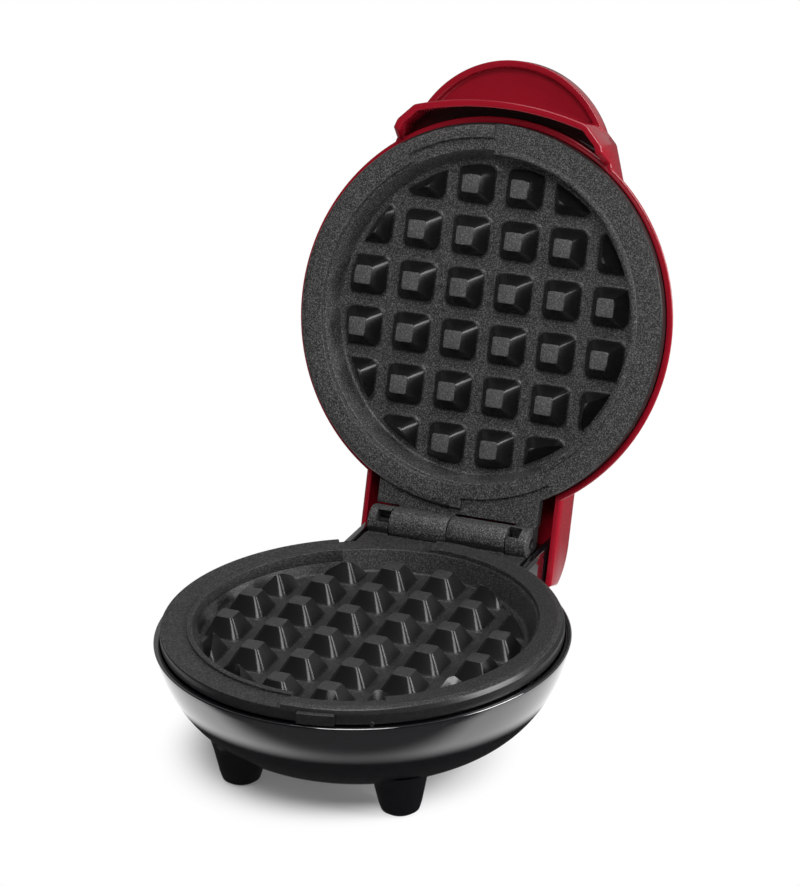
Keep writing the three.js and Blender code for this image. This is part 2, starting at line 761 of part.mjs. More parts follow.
// A lead from one heater pin down to the terminal block
function heaterLead(side) {
  const pinSide = heaterOpening / 2 + heaterPinInset;
  const pinBack = Math.sqrt(heaterCircle ** 2 - pinSide ** 2);
  const pinEnd = partingHeight + plateUnder - gap - heaterRadius - heaterPinLength;
  const level = TERMINAL_FLOOR + terminalHeight / 2;
  const path = new THREE.CubicBezierCurve3(
    new THREE.Vector3(side * pinSide, pinBack, pinEnd - gap),
    new THREE.Vector3(side * pinSide, pinBack, (pinEnd + level) / 2),
    new THREE.Vector3(side * terminalSpread, (pinBack + terminalFront) / 2, level),
    new THREE.Vector3(side * terminalSpread, terminalFront - gap, level));
  const section = new THREE.Shape(around(leadRadius, leadSides, 0).map(([x, y]) => new THREE.Vector2(x, y)));
  return solidOf(new THREE.ExtrudeGeometry(section, { steps: leadSteps, extrudePath: path }));
}

function cordGland() {
  const wallFront = housingRear - housingWall;
  const front = wallFront - gap - glandInnerDepth;
  const back = housingRear + gap + glandFlangeDepth;
  const body = turned([
    [0, front], [glandInnerFlange, front], [glandInnerFlange, wallFront - gap], [glandNeck, wallFront - gap],
    [glandNeck, housingRear + gap], [glandFlange, housingRear + gap],
    [glandFlange - glandFlangeDepth / 2, back], [0, back]], { steps: smallSteps });
  const straight = glandBoreHalfWidth - glandBoreHalfHeight;
  const through = [front - overrun, back + overrun];
  const ends = [-straight, straight];
  const bore = join(block(ends, [-glandBoreHalfHeight, glandBoreHalfHeight], through),
    ...ends.map((x) => disc(glandBoreHalfHeight, through, { centre: [x, 0], steps: tinySteps })));
  return alongY(cut(body, bore));
}

function hingePin() {
  const half = barrelHalf + knuckleWidth - pinSunk;
  return barX(pinRadius, [-half, half], [hingeBack, partingHeight]);
}

// Small pieces of the lid

function lidClip([side, back]) {
  const low = -postEnd + gap;
  const heights = [low, low + clipThickness];
  const centre = [-side, back];
  return cut(disc(clipRadius, heights, { centre, steps: smallSteps }),
    disc(postHole, [low - overrun, low + clipThickness + overrun], { centre, steps: tinySteps }));
}

function indicatorLens() {
  const points = [
    [0, lensUnder], [lensFlange, lensUnder], [lensFlange, lensUnder + lensFlangeThickness],
    [lensRadius, lensUnder + lensFlangeThickness], [lensRadius, crownHeight - crownRise],
    [lensRadius - lensProud, crownHeight - crownRise + lensProud], [0, crownHeight - crownRise + lensProud]];
  return turned(points, { centre: [0, -lensForward], steps: smallSteps });
}

function indicatorLamp() {
  const top = lensUnder - gap;
  return disc(lampRadius, [top - lampLength, top], { centre: [0, -lensForward], steps: tinySteps });
}

function lampHolder() {
  const top = lensUnder - gap;
  const inside = lampRadius + gap;
  const centre = [0, -lensForward];
  const heights = [top - lampLength, top];
  return cut(disc(inside + lampHolderWall, heights, { centre, steps: smallSteps }),
    disc(inside, [heights[0] - overrun, heights[1] + overrun], { centre, steps: tinySteps }));
}

// Materials

const FINISHES = {
  blackGloss: { color: 0x16161a, roughness: 0.18, metalness: 0 },
  redGloss: { color: 0x86182a, roughness: 0.16, metalness: 0 },
  castCoated: { color: 0x3c3c3c, roughness: 0.5, metalness: 0.35 },
  rubber: { color: 0x1c1c1f, roughness: 0.8, metalness: 0 },
  steel: { color: 0xb5b7ba, roughness: 0.32, metalness: 1 },
  aluminium: { color: 0xc6c8cb, roughness: 0.38, metalness: 1 },
  heaterSheath: { color: 0x6f6a64, roughness: 0.5, metalness: 0.9 },
  ceramic: { color: 0xd8d4c8, roughness: 0.6, metalness: 0 },
  nylon: { color: 0xe6e2d6, roughness: 0.45, metalness: 0 },
  silicone: { color: 0xb8b2a4, roughness: 0.6, metalness: 0 },
  lens: { color: 0xc8321e, roughness: 0.12, metalness: 0 },
  glass: { color: 0xe0b090, roughness: 0.08, metalness: 0 },
};

function piece(name, finish, solid) {
  const mesh = new THREE.Mesh(geometryOf(solid), new THREE.MeshStandardMaterial(FINISHES[finish]));
  mesh.name = name;
  return mesh;
}

// Base: pieces stand at their own height; the plate and its heating set hang from the parting plane
const base = new THREE.Group();
const lowerSet = new THREE.Group();
lowerSet.position.z = partingHeight;
base.add(lowerSet);

const cast = castPlate();

base.add(piece('base_shell', 'blackGloss', baseShell()));
for (const [place, where] of Object.entries(FEET)) {
  base.add(piece(`foot_pad_${place}`, 'rubber', footPad(where)));
}
POSTS.forEach((centre, i) => base.add(piece(`base_screw_${i + 1}`, 'steel', baseScrew(centre))));
base.add(piece('thermostat', 'ceramic', thermostat()));
base.add(piece('thermal_fuse', 'aluminium', thermalFuse()));
base.add(piece('terminal_block', 'nylon', terminalBlock()));
base.add(piece('heater_lead_left', 'silicone', heaterLead(-1)));
base.add(piece('heater_lead_right', 'silicone', heaterLead(1)));
base.add(piece('cord_gland', 'rubber', cordGland()));
base.add(piece('hinge_pin', 'steel', hingePin()));

lowerSet.add(piece('lower_plate', 'castCoated', join(cast, skirtTab())));
lowerSet.add(piece('lower_heater', 'heaterSheath', heater()));
lowerSet.add(piece('lower_heater_clamp', 'steel', heaterClamp()));
lowerSet.add(piece('lower_reflector', 'aluminium', reflector(postEnd - gap)));
CLAMP_POSTS.forEach((centre, i) => {
  lowerSet.add(piece(`lower_clamp_screw_${i + 1}`, 'steel', clampScrew(centre)));
});

// Lid: its group turns about the hinge pin, and its pieces are drawn round the plates' axis
const lid = new THREE.Group();
lid.position.set(0, hingeBack, partingHeight);
lid.rotation.x = -openAngle;
const upperSet = new THREE.Group();
upperSet.position.y = -hingeBack;
lid.add(upperSet);

upperSet.add(piece('lid_shell', 'redGloss', lidShell()));
upperSet.add(piece('upper_plate', 'castCoated', turnedOver(cast)));
upperSet.add(piece('upper_heater', 'heaterSheath', turnedOver(heater())));
upperSet.add(piece('upper_heater_clamp', 'steel', turnedOver(heaterClamp())));
upperSet.add(piece('upper_reflector', 'aluminium', turnedOver(reflector(postEnd - clipThickness - 2 * gap))));
CLAMP_POSTS.forEach((centre, i) => upperSet.add(
  piece(`upper_clamp_screw_${i + 1}`, 'steel', turnedOver(clampScrew(centre)))));
POSTS.forEach((centre, i) => upperSet.add(piece(`lid_clip_${i + 1}`, 'steel', lidClip(centre))));
upperSet.add(piece('indicator_lens', 'lens', indicatorLens()));
upperSet.add(piece('indicator_lamp', 'glass', indicatorLamp()));
upperSet.add(piece('lamp_holder', 'nylon', lampHolder()));

// The origin is under the middle of the opened object
const waffleMaker = new THREE.Group();
waffleMaker.add(base, lid);
waffleMaker.updateMatrixWorld(true);
const extent = new THREE.Box3().setFromObject(waffleMaker, true);
waffleMaker.position.y = -(extent.min.y + extent.max.y) / 2;

export default waffleMaker;
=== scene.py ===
import math

import bmesh
import bpy
from mathutils import Matrix, Vector


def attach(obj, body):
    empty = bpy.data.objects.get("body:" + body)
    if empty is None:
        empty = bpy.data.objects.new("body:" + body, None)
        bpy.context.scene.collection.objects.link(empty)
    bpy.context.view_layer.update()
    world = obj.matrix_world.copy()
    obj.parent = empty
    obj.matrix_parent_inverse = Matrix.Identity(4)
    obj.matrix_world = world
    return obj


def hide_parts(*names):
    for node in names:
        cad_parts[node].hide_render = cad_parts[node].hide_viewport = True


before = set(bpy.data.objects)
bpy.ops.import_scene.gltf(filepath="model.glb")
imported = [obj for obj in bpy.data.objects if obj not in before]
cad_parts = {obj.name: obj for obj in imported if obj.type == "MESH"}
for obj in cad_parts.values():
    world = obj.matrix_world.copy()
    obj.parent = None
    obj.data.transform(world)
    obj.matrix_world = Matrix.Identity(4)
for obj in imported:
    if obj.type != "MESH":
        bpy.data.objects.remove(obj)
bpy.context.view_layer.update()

PARTS = bpy.context.scene.collection


def around(radius, angles):
    """Places on a circle round the plates' axis, at angles in degrees."""
    return [(radius * math.cos(math.radians(a)), radius * math.sin(math.radians(a))) for a in angles]


# Sizes of the frame and the hinge, in millimetres as all sizes of pieces
MM = 0.001
SHIFT_BACK = -33.875043053152126
PARTING = 42.65
HINGE_BACK = 67.1
OPEN_ANGLE = math.radians(109.4)
BARREL_RADIUS = 5
PIN_RADIUS = 1.5
GAP = 0.3

# Steps round a large and round a small turned shape
ROUND = 144
SMALL_ROUND = 40

# Sizes of both shells
SHELL_RADIUS = 62
SHELL_WALL = 2
RIM_EASE = 0.5
BOWL_FLOOR_RADIUS = 28.3
CURVE_SHARES = (0.585, 0.03, 0.881, 0.435)

# Sizes of the base
FLOOR = 6.85
BASE_RIM = 37.95
HOUSING_HALF = 30.3
HOUSING_REACH = 13.5
HOUSING_LOW = 12.35
HOUSING_FRONT = 40
HOUSING_BACK = 61.4
EAR_TOP = 40.65
EAR_THICKNESS = 2.5
BOSS_RADIUS = 5
GLAND_HEIGHT = 19.9
FOOT_SIDE = 25.7
FOOT_PLACES = {
    "front_left": (-FOOT_SIDE, -32),
    "front_right": (FOOT_SIDE, -32),
    "rear_left": (-FOOT_SIDE, 48),
    "rear_right": (FOOT_SIDE, 48),
}

# Sizes of the plates, with heights from the parting plane
PLATE_RADIUS = 60
PLATE_DEPTH = 10
PLATE_SKIRT = -4.4
RING_TOP = 0.6
PATTERN_TURN = math.radians(1.5)
BED_RADIUS = 48
BED_FLOOR = -7.5
BED_TOP = -1.4
STUD_PITCH = 16.226
STUD_HALF = 6.113
LEAF_HALF = 27
KNUCKLE_START = 19.6
KNUCKLE_END = 26.6
POST_RADIUS = 3.5
POST_LENGTH = 8.3
POST_ROOT = -8.75
POST_HOLE = 1.6
POST_HOLE_TOP = -11.8
POSTS = around(20, (-90, 30, 150))
CLAMP_POST_RADIUS = 2.8
CLAMP_POST_END = -15.9
CLAMP_HOLE = 1.4
CLAMP_HOLE_TOP = -12.4
CLAMP_POSTS = around(29, (-30, 90, 210))
REFLECTOR_THICKNESS = 0.6

# Sizes of the lid
LID_RIM = 4.7
CROWN = 26.7
CROWN_RISE = 0.5
TONGUE_RADIUS = 33.9
TONGUE_PLACE = (0, -45.8)
TONGUE_LOW = 9
TONGUE_HIGH = 15.5
RECESS_RADIUS = 31.8
RECESS_TOP = 11.5
SKIRT_CURVE = 104
SKIRT_CENTRE = 37.3
SKIRT_WALL = 2.2
SKIRT_HALF = 29.2
SKIRT_LOW = -1.6
SKIRT_HIGH = 13.8
TAIL_REACH = 16.6
TAIL_HALF = 33.1
TAIL_WALL = 2.1
TAIL_FRONT = 42.1
TAIL_BACK = 79.9
LENS_PLACE = (0, -30)

BASE_PLACE = Matrix.Diagonal((MM, MM, MM, 1)) @ Matrix.Translation((0, SHIFT_BACK, 0))
LOWER_PLACE = BASE_PLACE @ Matrix.Translation((0, 0, PARTING))
LID_PLACE = (
    BASE_PLACE
    @ Matrix.Translation((0, HINGE_BACK, PARTING))
    @ Matrix.Rotation(-OPEN_ANGLE, 4, "X")
    @ Matrix.Translation((0, -HINGE_BACK, 0))
)
UPPER_PLACE = LID_PLACE @ Matrix.Rotation(math.pi, 4, "Y")

# An outline drawn as (back, height) is extruded along X; turned pieces are laid along the hinge or Y
ALONG_X = Matrix(((0, 0, 1, 0), (1, 0, 0, 0), (0, 1, 0, 0), (0, 0, 0, 1)))
ON_HINGE = Matrix.Translation((0, HINGE_BACK, 0)) @ Matrix.Rotation(math.pi / 2, 4, "Y")
IN_REAR_WALL = Matrix.Translation((0, 0, GLAND_HEIGHT)) @ Matrix.Rotation(-math.pi / 2, 4, "X")


# Outlines

def clamped(value):
    return min(1, max(0, value))


def arc(centre, radius, start, end, steps):
    """Points on an arc, with its angles in degrees."""
    turns = [math.radians(start + (end - start) * i / steps) for i in range(steps + 1)]
    return [(centre[0] + radius * math.cos(a), centre[1] + radius * math.sin(a)) for a in turns]


def eased(points, steps=4):
    """An outline whose corners with a third number are rounded to that radius; its two ends are kept."""
    made = []
    for i, point in enumerate(points):
        here = Vector(point[:2])
        if len(point) < 3 or i in (0, len(points) - 1):
            made.append(tuple(here))
            continue
        before = Vector(points[i - 1][:2]) - here
        after = Vector(points[i + 1][:2]) - here
        half = before.angle(after) / 2
        reach = min(point[2] / math.tan(half), 0.98 * before.length, 0.98 * after.length)
        start = here + before.normalized() * reach
        end = here + after.normalized() * reach
        for k in range(steps + 1):
            t = k / steps
            made.append(tuple(start * (1 - t) ** 2 + here * (2 * t * (1 - t)) + end * t**2))
    return made


def bowl_side(floor_radius, rim_radius, depth, steps=26):
    """The shells' side from the floor to the rim, as (radius, height over the floor)."""
    reach = rim_radius - floor_radius
    a, b, c, d = (
        Vector((floor_radius, 0)),
        Vector((floor_radius + CURVE_SHARES[0] * reach, CURVE_SHARES[1] * depth)),
        Vector((floor_radius + CURVE_SHARES[2] * reach, CURVE_SHARES[3] * depth)),
        Vector((rim_radius, depth)),
    )
    points = []
    for i in range(steps + 1):
        t = i / steps
        p = a * (1 - t) ** 3 + b * (3 * t * (1 - t) ** 2) + c * (3 * t * t * (1 - t)) + d * t**3
        points.append((p.x, p.y))
    return points


# Closed shapes, each a bmesh in millimetres

WELD = 0.0008
CORNER_ANGLE = 0.6


def tidy(bm):
    """Merges doubles and turns all faces outward."""
    bmesh.ops.remove_doubles(bm, verts=bm.verts, dist=WELD)
    bmesh.ops.recalc_face_normals(bm, faces=bm.faces)
    return bm


def moved(bm, matrix):
    bmesh.ops.transform(bm, matrix=matrix, verts=bm.verts)
    return bm


def turned(points, centre=(0, 0), steps=ROUND):
    """A turned shape from (radius, height) points that start and end on the axis."""
    bm = bmesh.new()
    verts = [bm.verts.new((r, 0, z)) for r, z in points]
    edges = [bm.edges.new(pair) for pair in zip(verts, verts[1:])]
    bmesh.ops.spin(
        bm, geom=verts + edges, cent=(0, 0, 0), axis=(0, 0, 1),
        angle=math.tau, steps=steps, use_merge=True,
    )
    return moved(tidy(bm), Matrix.Translation((centre[0], centre[1], 0)))


def disc(radius, low, high, centre=(0, 0), ease=0, steps=SMALL_ROUND):
    """A cylinder between two heights, with its two rims rounded."""
    side = [(0, low), (radius, low), (radius, high), (0, high)]
    if ease:
        side = eased([(0, low), (radius, low, ease), (radius, high, ease), (0, high)], steps=3)
    return turned(side, centre, steps)


def prism(points, low, high, ease=0, steps=3, ease_sides=False):
    """An outline extruded upward, with its two rims rounded, or its upright edges too."""
    bm = bmesh.new()
    face = bm.faces.new([bm.verts.new((x, y, low)) for x, y in points])
    raised = bmesh.ops.extrude_face_region(bm, geom=[face])["geom"]
    top = [g for g in raised if isinstance(g, bmesh.types.BMVert)]
    bmesh.ops.translate(bm, verts=top, vec=(0, 0, high - low))
    bmesh.ops.recalc_face_normals(bm, faces=bm.faces)
    if ease:
        corners = [
            e for e in bm.edges
            if abs(e.verts[0].co.z - e.verts[1].co.z) < (high - low) / 2
            or ease_sides and e.calc_face_angle() > CORNER_ANGLE
        ]
        bmesh.ops.bevel(
            bm, geom=corners, offset=ease, segments=steps, profile=0.5,
            affect="EDGES", material=-1, clamp_overlap=True,
        )
    return bm


def block(left, right, front, back, low, high, ease=0):
    """A box with all its edges rounded."""
    corners = [(left, front), (right, front), (right, back), (left, back)]
    return prism(corners, low, high, ease, ease_sides=True)


def sector(inside, outside, low, high, start, end, ease=0):
    """Part of a ring between two angles, in degrees from the front toward +X."""
    steps = max(2, round((end - start) * ROUND / 360))
    outline = [
        *arc((0, 0), outside, start - 90, end - 90, steps),
        *arc((0, 0), inside, end - 90, start - 90, steps),
    ]
    return prism(outline, low, high, ease)


def strip_wall(path, lows, high, thickness, ease):
    """An upright wall along a path; each of its points has its own lower level."""
    bm = bmesh.new()
    low_row = [bm.verts.new((x, y, low)) for (x, y), low in zip(path, lows)]
    high_row = [bm.verts.new((x, y, high)) for x, y in path]
    for i in range(len(path) - 1):
        bm.faces.new((low_row[i], low_row[i + 1], high_row[i + 1], high_row[i]))
    blank = blank_object(bm)
    shell = blank.modifiers.new("wall", "SOLIDIFY")
    shell.thickness = thickness
    shell.offset = 0
    shell.use_even_offset = True
    edge = blank.modifiers.new("ease", "BEVEL")
    edge.width = ease
    edge.segments = 4
    edge.limit_method = "ANGLE"
    edge.angle_limit = math.radians(50)
    return tidy(finished_bmesh(blank))


def blank_object(bm):
    """An object that carries a shape while modifiers work on it."""
    mesh = bpy.data.meshes.new("blank")
    bm.to_mesh(mesh)
    bm.free()
    blank = bpy.data.objects.new("blank", mesh)
    PARTS.objects.link(blank)
    return blank


def finished_bmesh(blank, *others):
    """The shape of an object with its modifiers applied; the objects are then removed."""
    view = bpy.context.evaluated_depsgraph_get()
    mesh = bpy.data.meshes.new_from_object(blank.evaluated_get(view))
    bm = bmesh.new()
    bm.from_mesh(mesh)
    for gone in (blank, *others):
        bpy.data.meshes.remove(gone.data)
    bpy.data.meshes.remove(mesh)
    return bm


def combined(operation, first, *others):
    for other in others:
        whole = blank_object(first)
        tool = blank_object(other)
        step = whole.modifiers.new("step", "BOOLEAN")
        step.operation = operation
        step.solver = "MANIFOLD"
        step.object = tool
        first = finished_bmesh(whole, tool)
    return first


def join(first, *others):
    return combined("UNION", first, *others)


def cut(first, *others):
    return combined("DIFFERENCE", first, *others)


def gathered(*shapes):
    """Shapes that don't touch, in one bmesh."""
    whole = bmesh.new()
    for bm in shapes:
        mesh = bpy.data.meshes.new("blank")
        bm.to_mesh(mesh)
        bm.free()
        whole.from_mesh(mesh)
        bpy.data.meshes.remove(mesh)
    return whole


def piece(name, bm, place, finish, body, stands_for, smooth=32):
    """Places a finished shape in the frame and gives it its finish and its body."""
    moved(bm, place)
    mesh = bpy.data.meshes.new(name)
    bm.to_mesh(mesh)
    bm.free()
    mesh.shade_smooth()
    mesh.set_sharp_from_angle(angle=math.radians(smooth))
    mesh.materials.append(finish)
    made = bpy.data.objects.new(name, mesh)
    PARTS.objects.link(made)
    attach(made, body)
    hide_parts(*stands_for)


# Finishes

class Socket:
    """A value on its way through a finish, which takes part in sums."""

    def __init__(self, finish, link):
        self.finish = finish
        self.link = link

    def output(self, name):
        """Another output of the same node."""
        return Socket(self.finish, self.link.node.outputs[name])

    def sum(self, operation, *values):
        return self.finish.node("ShaderNodeMath", {"operation": operation}, dict(enumerate(values)))

    def __add__(self, other):
        return self.sum("ADD", self, other)

    def __radd__(self, other):
        return self.sum("ADD", other, self)

    def __sub__(self, other):
        return self.sum("SUBTRACT", self, other)

    def __rsub__(self, other):
        return self.sum("SUBTRACT", other, self)

    def __mul__(self, other):
        return self.sum("MULTIPLY", self, other)

    def __rmul__(self, other):
        return self.sum("MULTIPLY", other, self)


class Finish:
    """A material with a Principled shader, filled in through node(); scales are per metre."""

    def __init__(self, name, **shader_values):
        self.material = bpy.data.materials.new(name)
        self.material.use_nodes = True
        self.tree = self.material.node_tree
        self.shader = self.tree.nodes["Principled BSDF"]
        self.give(shader_values)
        self.place = self.node("ShaderNodeTexCoord", output="Object")

    def give(self, values):
        for name, value in values.items():
            self.connect(self.shader.inputs[name.replace("_", " ")], value)

    def connect(self, socket, value):
        if isinstance(value, Socket):
            self.tree.links.new(value.link, socket)
        elif socket.type == "RGBA" and len(value) == 3:
            socket.default_value = (*value, 1)
        else:
            socket.default_value = value

    def node(self, kind, settings=None, inputs=None, output=0):
        made = self.tree.nodes.new(kind)
        for name, value in (settings or {}).items():
            if name == "stops":
                ramp = made.color_ramp.elements
                while len(ramp) < len(value):
                    ramp.new(0.5)
                for stop, (position, level) in zip(ramp, value):
                    stop.position = position
                    stop.color = (level, level, level, 1)
            else:
                setattr(made, name, value)
        for name, value in (inputs or {}).items():
            self.connect(made.inputs[name], value)
        return Socket(self, made.outputs[output])

    def noise(self, per_metre, detail=3, rough=0.5, place=None):
        return self.node(
            "ShaderNodeTexNoise", {},
            {"Vector": place or self.place, "Scale": per_metre, "Detail": detail, "Roughness": rough},
        )

    def ramp(self, value, *stops):
        return self.node("ShaderNodeValToRGB", {"stops": stops}, {"Fac": value})

    def blend(self, share, low, high):
        """Between two colours."""
        return self.node(
            "ShaderNodeMix", {"data_type": "RGBA"}, {0: share, 6: low, 7: high}, output=2
        )

    def mark(self, layer):
        """What a layer of the faces says, from 0 to 1."""
        return self.node("ShaderNodeAttribute", {"attribute_name": layer}, output="Fac")

    def bump(self, height, strength, distance, under=None):
        inputs = {"Height": height, "Strength": strength, "Distance": distance}
        if under:
            inputs["Normal"] = under
        return self.node("ShaderNodeBump", {}, inputs)


def grey(value):
    """A grey that is a trace warm."""
    return (value, value * 0.99, value * 0.98)


def gloss_finish(name, dark, light, roughness, specular, coat_ior):
    """Polished moulded plastic with a faint flow, fine dust and hairlines; painted shade makes it near
    black in the moat.
    """
    f = Finish(
        name, IOR=1.5, Specular_IOR_Level=specular,
        Coat_Weight=1.0, Coat_IOR=coat_ior, Coat_Roughness=0.04,
    )
    flow = f.noise(18, 2)
    dust = f.ramp(f.noise(5200, 1, 0.4), (0.69, 0), (0.75, 1))
    stretched = f.node(
        "ShaderNodeMapping", {}, {"Vector": f.place, "Rotation": (0.3, 0.9, 0.4), "Scale": (1, 0.04, 1)}
    )
    hairlines = f.ramp(f.noise(2600, 2, 0.5, stretched), (0.66, 0), (0.72, 1))
    ripple = f.noise(150, 1, 0.3)
    plastic = f.blend(flow * 0.6 + dust * 0.35, dark, light)
    f.give({
        # Painted shade: faces marked hollow, in the moat, are blended toward near black
        "Base Color": f.blend(f.mark("hollow") * 0.85, plastic, (0.004, 0.001, 0.001)),
        "Roughness": roughness + flow * 0.05 + dust * 0.12 + hairlines * 0.05,
        "Normal": f.bump(ripple, 0.05, 0.0006, f.bump(dust, 0.15, 0.00002)),
    })
    return f.material


def coating_finish(name):
    """Non-stick coating on a casting: grainy and flecked on its flats, smooth on its slopes, which painted
    shade makes dark; the lower plate's flats have painted shade too.
    """
    f = Finish(name, IOR=1.5, Specular_IOR_Level=0.4)
    grain = f.noise(2600, 3, 0.6)
    flecks = f.ramp(f.noise(2500, 2, 0.6), (0.48, 0), (0.60, 1))
    pits = f.ramp(f.noise(2100, 3, 0.6), (0.40, 1), (0.50, 0))
    cloud = f.noise(45, 3, 0.55)
    # This mark gives the slopes a smoother finish and a painted dark shade
    polish = f.mark("polish")
    rough = 1 - polish
    base = f.blend(cloud, grey(0.021), grey(0.028))
    flecked = f.blend(flecks * 0.75, base, grey(0.19))
    pitted = f.blend(pits * 0.85, flecked, grey(0.004))
    # Stud tops are blended lighter grey
    lightened = f.blend(f.mark("wear") * 0.25, pitted, grey(0.12))
    # Painted shade: the lower plate's flats in front of the hinge are blended darker
    flat = f.blend(f.mark("soot") * 0.5, lightened, grey(0.003))
    # The slopes' near black colour is painted shade; their lower roughness is the finish
    slope = f.blend(cloud, (0.0055, 0.0055, 0.006), (0.009, 0.009, 0.0095))
    f.give({
        "Base Color": f.blend(polish, flat, slope),
        "Roughness": 0.24 + grain * 0.04 + rough * (0.2 + grain * 0.1 - flecks * 0.06),
        "Metallic": rough * flecks * 0.3,
        "Normal": f.bump(grain, 0.3 * rough + 0.02, 0.00012, f.bump(cloud, 0.1, 0.0004)),
    })
    return f.material


def rubber_finish(name):
    """Dull rubber with a fine skin and a little dust."""
    f = Finish(name, Specular_IOR_Level=0.35)
    skin = f.noise(1800, 4, 0.6)
    dust = f.ramp(f.noise(320, 3, 0.6), (0.5, 0), (0.75, 1))
    f.give({
        "Base Color": f.blend(dust * 0.5 + skin * 0.2, (0.010, 0.010, 0.011), (0.035, 0.034, 0.033)),
        "Roughness": 0.72 + skin * 0.16,
        "Normal": f.bump(skin, 0.4, 0.00015),
    })
    return f.material


def metal_finish(name, dark, light, roughness, stretch, tarnish=0.3):
    """Plated, rolled or heat darkened metal, with fine lines along its stretch and a little tarnish."""
    f = Finish(name, Metallic=1.0)
    stretched = f.node("ShaderNodeMapping", {}, {"Vector": f.place, "Scale": stretch})
    lines = f.noise(1, 3, 0.6, stretched)
    patches = f.ramp(f.noise(140, 3, 0.6), (0.4, 0), (0.7, 1))
    f.give({
        "Base Color": f.blend(patches * tarnish + lines * 0.35, light, dark),
        "Roughness": roughness + lines * 0.14 + patches * 0.12,
        "Normal": f.bump(lines, 0.15, 0.00005),
    })
    return f.material


def moulding_finish(name, dark, light, roughness):
    """Plain moulded or pressed insulating material, slightly mottled."""
    f = Finish(name, Specular_IOR_Level=0.4)
    mottle = f.noise(260, 4, 0.6)
    grain = f.noise(3000, 2)
    f.give({
        "Base Color": f.blend(mottle, dark, light),
        "Roughness": roughness + grain * 0.15,
        "Normal": f.bump(grain, 0.2, 0.00006),
    })
    return f.material


def lens_finish(name):
    """Tinted clear plastic with fine ribs."""
    f = Finish(name, IOR=1.49, Specular_IOR_Level=0.5, Coat_Roughness=0.05)
    tint = f.noise(120, 2)
    ribs = f.node("ShaderNodeTexWave", {}, {"Vector": f.place, "Scale": 260.0})
    f.give({
        "Base Color": f.blend(tint, (0.42, 0.014, 0.006), (0.62, 0.03, 0.014)),
        "Roughness": 0.08 + f.noise(2400, 2) * 0.08,
        "Coat Weight": 0.6 + tint * 0.3,
        "Normal": f.bump(ribs, 0.2, 0.00008),
    })
    return f.material


BLACK_GLOSS = gloss_finish(
    "black_gloss", (0.0028, 0.0028, 0.0036), (0.0062, 0.0062, 0.0078),
    roughness=0.05, specular=0.9, coat_ior=1.75,
)
RED_GLOSS = gloss_finish(
    "red_gloss", (0.23, 0.0035, 0.0115), (0.28, 0.0050, 0.016),
    roughness=0.18, specular=0.35, coat_ior=1.35,
)
COATING = coating_finish("speckled_coating")
RUBBER = rubber_finish("soft_rubber")
STEEL = metal_finish(
    "plated_steel", (0.30, 0.30, 0.29), (0.58, 0.59, 0.60), roughness=0.24, stretch=(900, 900, 90)
)
PIN_STEEL = metal_finish(
    "blackened_steel", (0.012, 0.012, 0.012), (0.05, 0.05, 0.05), roughness=0.4, stretch=(90, 900, 900)
)
ALUMINIUM = metal_finish(
    "rolled_aluminium", (0.46, 0.46, 0.47), (0.74, 0.75, 0.76), roughness=0.28, stretch=(60, 1400, 1400)
)
SHEATH = metal_finish(
    "heater_sheath", (0.07, 0.06, 0.055), (0.22, 0.20, 0.18),
    roughness=0.42, stretch=(300, 300, 300), tarnish=0.6,
)
CONTROL = moulding_finish("control_moulding", (0.52, 0.48, 0.40), (0.74, 0.70, 0.62), roughness=0.5)
SILICONE = moulding_finish("silicone_sleeve", (0.36, 0.33, 0.27), (0.52, 0.49, 0.42), roughness=0.55)
LENS = lens_finish("red_lens")
LAMP = moulding_finish("lamp_glass", (0.60, 0.20, 0.10), (0.82, 0.36, 0.22), roughness=0.08)


# Base shell

def leg(place):
    profile = eased([
        (0, 0.9), (5.6, 0.9, 0.45), (6.35, 3.2, 2), (8.0, 11.0, 5), (8.9, 14.2), (0, 14.2)], steps=5)
    return turned(profile, place, steps=56)


def housing_outline(inset, top):
    """Side view of the hinge housing, as (back, height): flat in front and below, round behind."""
    reach = HOUSING_REACH - inset
    rear = HOUSING_BACK - inset
    front = HOUSING_FRONT + inset
    low = HOUSING_LOW + inset
    top_turn = math.degrees(math.asin((top - PARTING) / reach))
    rear_turn = -math.degrees(math.acos((rear - HINGE_BACK) / reach))
    back = arc((HINGE_BACK, PARTING), reach, top_turn, rear_turn, 26)
    return [(front, low), (front, top), *back, (rear, low)]


